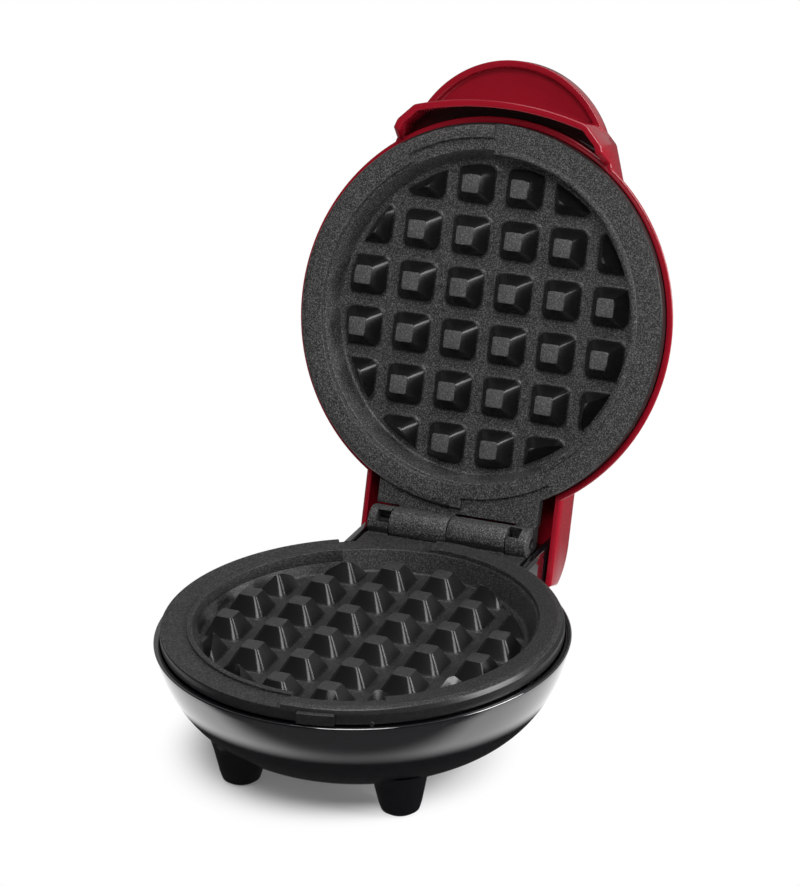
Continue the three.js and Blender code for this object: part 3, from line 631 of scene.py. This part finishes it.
def base_shell():
    """The bowl on its legs, with the hinge housing, its ears, the screw bosses and the gland's hole."""
    side = bowl_side(BOWL_FLOOR_RADIUS, SHELL_RADIUS, BASE_RIM - FLOOR - RIM_EASE)
    outer = [(r, FLOOR + h) for r, h in side]
    rim = eased([outer[-1], (SHELL_RADIUS, BASE_RIM, RIM_EASE), (0, BASE_RIM)])
    bowl = turned([(0, FLOOR), *outer, *rim[1:]])

    wall = SHELL_WALL
    mouth = SHELL_RADIUS - wall
    side = bowl_side(BOWL_FLOOR_RADIUS - wall, mouth, BASE_RIM - FLOOR - wall)
    inner = [(r, FLOOR + wall + h) for r, h in side[:-1]]
    flare = [
        (mouth, BASE_RIM - 0.5), (mouth + 0.15, BASE_RIM - 0.15),
        (mouth + 0.5, BASE_RIM), (mouth + 0.5, BASE_RIM + 1),
    ]
    inside = turned([(0, FLOOR + wall), *inner, *flare, (0, BASE_RIM + 1)])

    deck = PARTING - BARREL_RADIUS - GAP
    half = HOUSING_HALF
    housing = moved(prism(housing_outline(0, deck), -half, half, 1.0), ALONG_X)
    ears = [
        moved(prism(housing_outline(0, EAR_TOP), left, left + EAR_THICKNESS, 0.55), ALONG_X)
        for left in (-half, half - EAR_THICKNESS)
    ]
    hollow = moved(prism(housing_outline(wall, deck - wall), wall - half, half - wall), ALONG_X)
    plate_seat = disc(PLATE_RADIUS + GAP, BASE_RIM, PARTING, steps=ROUND)
    outside = join(bowl, housing, *ears, *[leg(place) for place in FOOT_PLACES.values()])
    emptied = cut(outside, join(inside, hollow), plate_seat)

    boss_top = PARTING - PLATE_DEPTH - POST_LENGTH - 2 * GAP - REFLECTOR_THICKNESS
    bosses = [disc(BOSS_RADIUS, FLOOR, boss_top, place) for place in POSTS]
    bore = [
        (0, FLOOR - 1), (3.6, FLOOR - 1), (3.6, FLOOR), (3.3, FLOOR + GAP), (3.3, FLOOR + 2.4),
        (1.6, FLOOR + 2.4), (1.6, boss_top + 1), (0, boss_top + 1),
    ]
    bores = [turned(bore, place, SMALL_ROUND) for place in POSTS]
    sockets = [disc(3.5, -0.1, 4.3, place) for place in FOOT_PLACES.values()]
    gland_hole = moved(disc(4.3, 58.4, 62.4), IN_REAR_WALL)
    return cut(join(emptied, *bosses), *bores, *sockets, gland_hole)


# Waffle plates

def stud(side, back):
    """A square stud with rounded corners, a soft foot and a soft top."""
    # Each level has half the stud's width there; the stud starts within the plate's floor
    base_level, base_half = -10.5, 6.9
    levels = [
        (-7.51, 6.9), (-7.45, 6.5), (-7.2, 6.14), (-6.8, 5.8),
        (-1.86, 3.02), (-1.66, 2.88), (-1.53, 2.72), (-1.5, 2.6),
    ]
    bm = bmesh.new()
    bmesh.ops.create_grid(bm, x_segments=1, y_segments=1, size=STUD_HALF)
    bmesh.ops.bevel(
        bm, geom=bm.verts[:], offset=1.9, segments=4, profile=0.5,
        affect="VERTICES", material=-1, clamp_overlap=True,
    )
    share = base_half / STUD_HALF
    bmesh.ops.scale(bm, verts=bm.verts, vec=(share, share, 1))
    bmesh.ops.translate(bm, verts=bm.verts, vec=(0, 0, base_level))
    raised = bmesh.ops.extrude_face_region(bm, geom=bm.faces[:])["geom"]
    face = next(g for g in raised if isinstance(g, bmesh.types.BMFace))
    level, half = base_level, base_half
    for number, (next_level, next_half) in enumerate(levels):
        if number:
            face = bmesh.ops.extrude_discrete_faces(bm, faces=[face])["faces"][0]
        share = next_half / half
        bmesh.ops.scale(bm, verts=face.verts, vec=(share, share, 1))
        bmesh.ops.translate(bm, verts=face.verts, vec=(0, 0, next_level - level))
        level, half = next_level, next_half
    return moved(tidy(bm), Matrix.Translation((side, back, 0)))


def stud_places():
    """Six by six places, without the four in the corners."""
    spots = [(i - 2.5) * STUD_PITCH for i in range(6)]
    return [(x, y) for x in spots for y in spots if min(abs(x), abs(y)) < spots[-1]]


def stud_bed():
    """All studs, drawn in round the rim as the cavity is."""
    cone = turned([
        (0, -11), (BED_RADIUS, -11), (BED_RADIUS, BED_FLOOR), (47.4, -7.2), (44.4, -1.75), (44, BED_TOP),
        (0, BED_TOP)])
    return combined("INTERSECT", gathered(*[stud(x, y) for x, y in stud_places()]), cone)


def plate_ring():
    """The plate's body with its stepped rim and its ridge; angles run from the front toward +X."""
    body = turned(eased([
        (0, -PLATE_DEPTH), (54, -PLATE_DEPTH, 1), (57.8, PLATE_SKIRT, 0.3),
        (PLATE_RADIUS, PLATE_SKIRT, 0.4), (PLATE_RADIUS, -1.3, 0.6), (59.3, 0.15, 0.9),
        (57.7, RING_TOP, 0.6), (52.4, RING_TOP, 0.35), (52.4, -0.9, 0.1), (51.6, -0.9, 0.4),
        (49.3, BED_FLOOR, 1.1), (0, BED_FLOOR)], steps=5))
    above = RING_TOP + 1
    lowered = sector(52, SHELL_RADIUS, -0.9, above, 180, 360)
    front_band = sector(52, 55.5, -0.9, above, -30, 30)
    rear_drop = sector(56.4, SHELL_RADIUS, -2, above, 180, 210)
    step_relief = sector(52, SHELL_RADIUS, -GAP / 2, above, 176.6, 181.5)
    ridge = sector(50.3, 52.1, -4, -GAP / 2, 210, 360, 0.25)
    ring = join(cut(body, lowered, front_band, rear_drop, step_relief), ridge)
    return moved(ring, Matrix.Rotation(PATTERN_TURN, 4, "Z"))


def hinge_leaf():
    """The bracket with its two knuckles, and the shapes that cut the pin's bore and the window."""
    low, high = -5, -2
    front = 34
    clear = HINGE_BACK - BARREL_RADIUS - GAP
    under_ring = disc(54, low - 1, 1, steps=ROUND)
    leaf = cut(block(-LEAF_HALF, LEAF_HALF, front, clear, low, high, 0.4), under_ring)
    knuckles = []
    for left, right in ((GAP / 2, KNUCKLE_START - GAP / 2), (-KNUCKLE_END, -KNUCKLE_START - GAP / 2)):
        ends = [(0, left), (BARREL_RADIUS, left, 0.35), (BARREL_RADIUS, right, 0.35), (0, right)]
        knuckles.append(moved(turned(eased(ends), steps=64), ON_HINGE))
        knuckles.append(block(left, right, clear - 1, HINGE_BACK, low, high, 0.3))
    bore = moved(disc(PIN_RADIUS + GAP, -28, 28), ON_HINGE)
    tilted = Matrix.Translation((0, HINGE_BACK, 0)) @ Matrix.Rotation(math.radians(-45), 4, "X")
    window = moved(block(-24, -18.6, -6, -0.5, -1.95, 1.95, 0.3), tilted)
    return join(leaf, *knuckles), [bore, window]


def marked_plate_faces(bm, is_lower):
    """Marks smoother slopes and skirt sides painted dark as shade, lighter stud tops and, on the lower
    plate, flats with painted shade.
    """
    flat_from, slope_range = 0.93, 0.3
    tops_above, plate_shade_before = -1.7, 60.5
    bm.normal_update()
    polish, wear, soot = (bm.faces.layers.float.new(layer) for layer in ("polish", "wear", "soot"))
    for face in bm.faces:
        centre = face.calc_center_median()
        radius = math.hypot(centre.x, centre.y)
        in_bed = radius < BED_RADIUS + 0.6 and BED_FLOOR - 0.1 < centre.z < BED_TOP
        on_skirt = radius > 58 and PLATE_SKIRT - 0.1 < centre.z < 0
        slope = clamped((flat_from - abs(face.normal.z)) / slope_range)
        # Slopes and skirt sides get a smoother finish and painted shade
        face[polish] = slope * (in_bed or 0.8 * on_skirt)
        # Stud tops are marked to be lighter
        face[wear] = (1 - slope) * (in_bed and centre.z > tops_above)
        # Painted shade on the lower plate's flats in front of the hinge
        face[soot] = is_lower * (centre.y < plate_shade_before)
    return bm


def waffle_plate(is_lower):
    """A whole casting, face up; the lower one also has the front tab with its nub."""
    leaf, cutters = hinge_leaf()
    post_end = -PLATE_DEPTH - POST_LENGTH
    posts = [disc(POST_RADIUS, post_end, POST_ROOT, place, 0.4) for place in POSTS]
    clamp_posts = [disc(CLAMP_POST_RADIUS, CLAMP_POST_END, POST_ROOT, place, 0.3) for place in CLAMP_POSTS]
    whole = join(plate_ring(), stud_bed(), leaf, *posts, *clamp_posts)
    if is_lower:
        outward = Matrix.Rotation(math.radians(27), 4, "Z") @ Matrix.Rotation(math.pi / 2, 4, "X")
        nub = moved(disc(0.7, 58.5, 60.5, (0, -4.1), 0.2, 24), outward)
        tab = sector(57.8, 61.3, PLATE_SKIRT, -1.0, 6.5, 17, 0.2)
        whole = join(whole, tab, nub)
    holes = [disc(POST_HOLE, post_end - 1, POST_HOLE_TOP, place) for place in POSTS]
    clamp_holes = [disc(CLAMP_HOLE, CLAMP_POST_END - 1, CLAMP_HOLE_TOP, place) for place in CLAMP_POSTS]
    return marked_plate_faces(cut(whole, *cutters, *holes, *clamp_holes), is_lower)


# Lid shell

def skirt_path():
    """Plan of the middle of the handle's skirt, from its left root round the front to its right root."""
    middle = SKIRT_WALL / 2
    curve = SKIRT_CURVE - middle
    turn = math.degrees(math.asin((SKIRT_HALF - middle) / curve))
    front = arc((0, SKIRT_CENTRE), curve, -90 - turn, -90 + turn, 28)
    right = [
        (TONGUE_RADIUS - middle, -57, 2.5), (34.71 - middle, -54.6),
        (35.8 - middle, -51.4), (38.3 - middle, -44),
    ]
    left = [(-point[0], *point[1:]) for point in reversed(right)]
    return eased([*left, (*front[0], 1.6), *front[1:-1], (*front[-1], 1.6), *right])


def handle():
    """The finger tongue with its recess, and the skirt that hangs from it down to the dome's sides."""
    low, high = TONGUE_LOW, TONGUE_HIGH
    side = eased([(0, low), (TONGUE_RADIUS, low, 0.35), (TONGUE_RADIUS, high, 2.5), (0, high)], steps=8)
    tongue = turned(side, TONGUE_PLACE)
    wall = (RECESS_RADIUS, 9.4)
    ceiling = eased([wall, (RECESS_RADIUS, RECESS_TOP, 1.0), (20, RECESS_TOP)], steps=5)
    mouth = [(0, low - 1), (32.2, low - 1), (32.15, low), (31.9, 9.15), wall]
    recess = turned([*mouth, *ceiling[1:-1], (0, RECESS_TOP)], TONGUE_PLACE)
    path = skirt_path()
    # The skirt hangs low in front and rises to the dome at its two roots
    rise, rise_start, rise_range = 6.3, -54.6, 3.2
    lows = [SKIRT_LOW + rise * clamped((y - rise_start) / rise_range) for _, y in path]
    skirt = strip_wall(path, lows, SKIRT_HIGH, SKIRT_WALL, 0.5)
    roof = prism(path, low - 1, SKIRT_HIGH - 0.05)
    return join(cut(tongue, recess), skirt, roof)


def tail_top(reach, steps):
    """Side view of the tail's round top, as (back, height), from its back edge to over the hinge."""
    start = math.degrees(math.acos((TAIL_BACK - HINGE_BACK) / reach))
    return arc((HINGE_BACK, 0), reach, start, 90, steps)


def with_painted_moat_shade(bm):
    """Marks the faces in the narrow moat between the dome and the handle's skirt, for the painted shade
    that darkens the moat.
    """
    moat_radius, moat_back, moat_half = 57, -44, 36.5
    moat_low, moat_high = LID_RIM + 0.6, 8.1
    bm.normal_update()
    # The hollow layer carries the painted shade of the moat
    hollow = bm.faces.layers.float.new("hollow")
    curve = SKIRT_CURVE - SKIRT_WALL + 0.1
    for face in bm.faces:
        centre = face.calc_center_median()
        radius = math.hypot(centre.x, centre.y)
        outward = face.normal.dot(Vector((centre.x, centre.y, 0))) / radius if radius else 1
        skirt_front = SKIRT_CENTRE - math.sqrt(curve**2 - min(abs(centre.x), 40) ** 2)
        inside = radius > moat_radius and skirt_front < centre.y < moat_back and abs(centre.x) < moat_half
        toward_moat = radius < SHELL_RADIUS + 0.3 or outward < 0.3
        face[hollow] = inside and toward_moat and moat_low < centre.z < moat_high
    return bm


def lid_shell():
    """The dome with the handle in front, the tail over the hinge, the stems and the lens's hole."""
    shoulder = CROWN - CROWN_RISE
    side = bowl_side(BOWL_FLOOR_RADIUS, SHELL_RADIUS, shoulder - LID_RIM - RIM_EASE)
    outer = [(r, shoulder - h) for r, h in side]
    crown = [(0, CROWN), (10, CROWN - 0.06), (20, CROWN - 0.25)]
    rim = eased([outer[-1], (SHELL_RADIUS, LID_RIM, RIM_EASE), (0, LID_RIM)])
    dome = turned([*crown, *outer, *rim[1:]])

    wall = SHELL_WALL
    mouth = SHELL_RADIUS - wall
    side = bowl_side(BOWL_FLOOR_RADIUS - wall, mouth, shoulder - wall - LID_RIM)
    inner = [(r, shoulder - wall - h) for r, h in side[:-1]]
    flare = [
        (mouth, LID_RIM + 0.4), (mouth + 0.12, LID_RIM + 0.12),
        (mouth + 0.4, LID_RIM), (mouth + 0.4, -3),
    ]
    inside = turned([(0, CROWN - wall), *inner, *flare, (0, -3)])

    top = tail_top(TAIL_REACH, 26)
    outline = [(TAIL_FRONT, LID_RIM), (TAIL_BACK, LID_RIM), *top, (TAIL_FRONT, TAIL_REACH)]
    tail = moved(prism(outline, -TAIL_HALF, TAIL_HALF, 2.4, 6), ALONG_X)
    reach = TAIL_REACH - TAIL_WALL
    half = TAIL_HALF - TAIL_WALL
    behind = TAIL_BACK + 1.1
    top = tail_top(reach, 24)
    outline = [(TAIL_FRONT, -1), (behind, -1), (behind, top[0][1]), *top, (TAIL_FRONT, reach)]
    channel = moved(prism(outline, -half, half, 0.8), ALONG_X)

    emptied = cut(join(dome, handle(), tail), inside, channel)
    stems = [
        join(disc(4.7, 20.2, CROWN - 1, (-x, y)), disc(1.3, 12.5, 21.2, (-x, y), 0.3)) for x, y in POSTS
    ]
    lens_hole = disc(3.2, LID_RIM, CROWN + 1, LENS_PLACE)
    return with_painted_moat_shade(cut(join(emptied, *stems), lens_hole))


# Small pieces

def foot_pad(place):
    """A rubber pad whose plug is held in the end of its leg."""
    return turned(eased([
        (0, 0), (4.1, 0, 0.4), (5.0, 0.6, 0.15), (3.2, 0.6), (3.2, 4, 0.4), (0, 4)]), place, steps=48)


def base_screw(place):
    """A pan head screw with a cross recess, seen from below."""
    low = FLOOR + GAP
    tip = 30.15
    head = turned(eased([
        (0, low), (2.2, low + 0.05, 0.8), (3.0, low + 0.9, 0.5), (3.0, low + 1.8, 0.1), (1.3, low + 1.8),
        (1.3, tip, 0.4), (0, tip)]), place, SMALL_ROUND)
    at = Matrix.Translation((place[0], place[1], 0))
    arms = []
    for turn in (20, 110):
        arm = block(-1.5, 1.5, -0.32, 0.32, low - 0.5, low + 1.1)
        arms.append(moved(arm, at @ Matrix.Rotation(math.radians(turn), 4, "Z")))
    return cut(head, *arms)


def cord_gland():
    """A stepped rubber gland with an open slot for a flat two core lead."""
    body = turned(eased([
        (0, 56.5), (5.4, 56.5, 0.4), (5.4, 59.1, 0.2), (4, 59.1), (4, 61.7),
        (6.2, 61.7, 0.3), (6.1, 62.6, 0.5), (4.8, 64.5, 0.6), (0, 64.5)]), steps=64)
    outline = arc((1.3, 0), 1.9, -90, 90, 12) + arc((-1.3, 0), 1.9, 90, 270, 12)
    return moved(cut(body, prism(outline, 55.5, 65.5)), IN_REAR_WALL)


def hinge_pin():
    half = 25.8
    pin = turned(eased([
        (0, -half), (PIN_RADIUS, -half, 0.4), (PIN_RADIUS, half, 0.4), (0, half)]), steps=SMALL_ROUND)
    return moved(pin, Matrix.Translation((0, 0, PARTING)) @ ON_HINGE)


def indicator_lens():
    """A low domed lens with a flange under the lid's skin."""
    top = CROWN - CROWN_RISE
    under = top - 3.2 - 0.8
    profile = eased([
        (0, under), (4.2, under, 0.15), (4.2, under + 0.8, 0.15), (2.9, under + 0.8), (2.9, top, 0.3),
        (2.3, top + 0.33, 0.6), (0, top + 0.4)])
    return turned(profile, LENS_PLACE, SMALL_ROUND)


piece("gloss_base", base_shell(), BASE_PLACE, BLACK_GLOSS, "base", ["base_shell"])
piece(
    "waffle_plate_lower", waffle_plate(True), LOWER_PLACE, COATING, "base",
    ["lower_plate"], smooth=28,
)
piece(
    "waffle_plate_upper", waffle_plate(False), UPPER_PLACE, COATING, "lid",
    ["upper_plate"], smooth=28,
)
piece("gloss_lid", lid_shell(), LID_PLACE, RED_GLOSS, "lid", ["lid_shell"])
for spot, place in FOOT_PLACES.items():
    piece(
        f"rubber_pad_{spot}", foot_pad(place), BASE_PLACE, RUBBER, "base",
        [f"foot_pad_{spot}"],
    )
for number, place in enumerate(POSTS, 1):
    piece(
        f"pan_screw_{number}", base_screw(place), BASE_PLACE, STEEL, "base",
        [f"base_screw_{number}"],
    )
piece("gland", cord_gland(), BASE_PLACE, RUBBER, "base", ["cord_gland"])
piece("pin", hinge_pin(), BASE_PLACE, PIN_STEEL, "base", ["hinge_pin"])
piece("light_lens", indicator_lens(), LID_PLACE, LENS, "lid", ["indicator_lens"])

# The solids that stay inside the shells keep their shape and take a finish
CARRIED = {
    STEEL: ["lower_heater_clamp", "upper_heater_clamp"]
    + [f"{half}_clamp_screw_{i}" for half in ("lower", "upper") for i in (1, 2, 3)]
    + [f"lid_clip_{i}" for i in (1, 2, 3)],
    ALUMINIUM: ["lower_reflector", "upper_reflector", "thermal_fuse"],
    SHEATH: ["lower_heater", "upper_heater"],
    CONTROL: ["thermostat", "terminal_block", "lamp_holder"],
    SILICONE: ["heater_lead_left", "heater_lead_right"],
    LAMP: ["indicator_lamp"],
}
for finish, names in CARRIED.items():
    for name in names:
        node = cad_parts[name]
        node.data.materials.clear()
        node.data.materials.append(finish)


# Floor, lights and camera, in metres

BASE_MIDDLE = (0, -0.036, 0)
SHADOW_MIDDLE = (-0.008, -0.036, 0)
WHITE = (1, 1, 1)


class Backdrop(Finish):
    """The floor's or the world's nodes, which know the rays of the camera, of gloss and of glass."""

    def __init__(self, owner, shader):
        owner.use_nodes = True
        self.tree = owner.node_tree
        self.shader = self.tree.nodes[shader]
        camera = self.node("ShaderNodeLightPath", output="Is Camera Ray")
        self.glossy = camera.output("Is Glossy Ray")
        through = camera.output("Is Transmission Ray")
        sum_to_one = {"operation": "ADD", "use_clamp": True}
        self.seen = self.node("ShaderNodeMath", sum_to_one, {0: camera + self.glossy, 1: through})

    def smooth(self, value, low, high):
        return self.node(
            "ShaderNodeMapRange", {"interpolation_type": "SMOOTHSTEP"}, {0: value, 1: low, 2: high}
        )

    def distance(self, place, middle):
        offset = self.node("ShaderNodeVectorMath", {"operation": "SUBTRACT"}, {0: place, 1: middle})
        return self.node("ShaderNodeVectorMath", {"operation": "LENGTH"}, {0: offset}, output="Value")


def floor_finish():
    """White paper that keeps the shadow near the object and runs out to plain white."""
    material = bpy.data.materials.new("white_paper")
    f = Backdrop(material, "Principled BSDF")
    f.give({"Base Color": (0.9, 0.9, 0.9), "Roughness": 0.9, "Specular IOR Level": 0.0})
    place = f.node("ShaderNodeTexCoord", output="Object")
    across = f.node("ShaderNodeSeparateXYZ", {}, {0: place}, output="X")
    back = across.output("Y")
    far = f.distance(place, BASE_MIDDLE)
    # In gloss the floor is white round the base, with a painted shadow under it, dark toward the camera
    # and grey far away
    from_camera = back * 0.91 - across * 0.414
    past_front = f.smooth(from_camera, -0.104, -0.084) * f.smooth(back, -0.114, -0.092)
    # Painted shadow under the base, in what gloss sees of the floor
    clear_of_base = f.smooth(far, 0.056, 0.066)
    far_away = f.smooth(far, 0.1, 0.17)
    mirrored = (0.02 + 0.98 * clear_of_base) * (0.1 + 0.9 * past_front) * (1 - 0.88 * far_away)
    white = f.node("ShaderNodeEmission", {}, {"Color": WHITE, "Strength": 1 - f.glossy * (1 - mirrored)})
    # The paper shows as far as the shadow reaches, and in gloss the plain floor takes its place
    past_shadow = f.smooth(f.distance(place, SHADOW_MIDDLE), 0.034, 0.056)
    plain = (0.12 + 0.88 * past_shadow) * f.seen
    share = plain + f.glossy * (1 - plain)
    paper = Socket(f, f.shader.outputs[0])
    mixed = f.node("ShaderNodeMixShader", {}, {0: share, 1: paper, 2: white})
    f.connect(f.tree.nodes["Material Output"].inputs["Surface"], mixed)
    return material


floor_shape = bmesh.new()
bmesh.ops.create_grid(floor_shape, x_segments=2, y_segments=2, size=3)
floor_mesh = bpy.data.meshes.new("floor")
floor_shape.to_mesh(floor_mesh)
floor_shape.free()
floor_mesh.materials.append(floor_finish())
floor = bpy.data.objects.new("floor", floor_mesh)
PARTS.objects.link(floor)

# White all round for the eye; gloss mirrors it grey behind the object and near black toward the front
world = bpy.data.worlds.new("studio")
bpy.context.scene.world = world
sky = Backdrop(world, "Background")
direction = sky.node("ShaderNodeTexCoord", output="Generated")
backward = sky.node("ShaderNodeSeparateXYZ", {}, {0: direction}, output="Y")
mirrored = 0.03 + sky.smooth(backward, -0.45, 0.2) * 0.27
shown = 1 - sky.glossy * (1 - mirrored)
sky.give({"Color": WHITE, "Strength": sky.seen * shown + (1 - sky.seen) * 0.28})


def softbox(name, place, aim, size, power):
    """A square light that faces the place it aims at."""
    light = bpy.data.lights.new(name, "AREA")
    light.shape = "SQUARE"
    light.size = size
    light.energy = power
    lamp = bpy.data.objects.new(name, light)
    PARTS.objects.link(lamp)
    lamp.location = place
    lamp.rotation_mode = "QUATERNION"
    lamp.rotation_quaternion = (Vector(place) - Vector(aim)).to_track_quat("Z", "Y")


softbox("key", place=(0.22, -0.72, 1.15), aim=(0, 0, 0.08), size=0.7, power=12.5)
softbox("side", place=(1.0, 0.15, 0.5), aim=(0, 0, 0.1), size=0.6, power=13)
softbox("top", place=(-0.2, 0.1, 1.3), aim=(0, 0, 0.05), size=0.4, power=2.5)

# The camera was fitted to measured points of the photograph, with its focal length in pixels
FOCAL_LENGTH = 3989.6
IMAGE_HEIGHT = 886
SENSOR = 36
camera_data = bpy.data.cameras.new("camera")
camera = bpy.data.objects.new("camera", camera_data)
PARTS.objects.link(camera)
camera_data.sensor_width = SENSOR
camera_data.lens = FOCAL_LENGTH / IMAGE_HEIGHT * SENSOR
camera_data.clip_start = 0.05
camera_data.clip_end = 20
camera.matrix_world = Matrix((
    (0.91353391, -0.14276696, 0.38088501, 0.452594),
    (0.40626103, 0.36672591, -0.83693732, -0.998580),
    (-0.02019341, 0.91930936, 0.3930172, 0.554451),
    (0, 0, 0, 1),
))
bpy.context.scene.camera = camera
bpy.context.scene.view_settings.view_transform = "Standard"
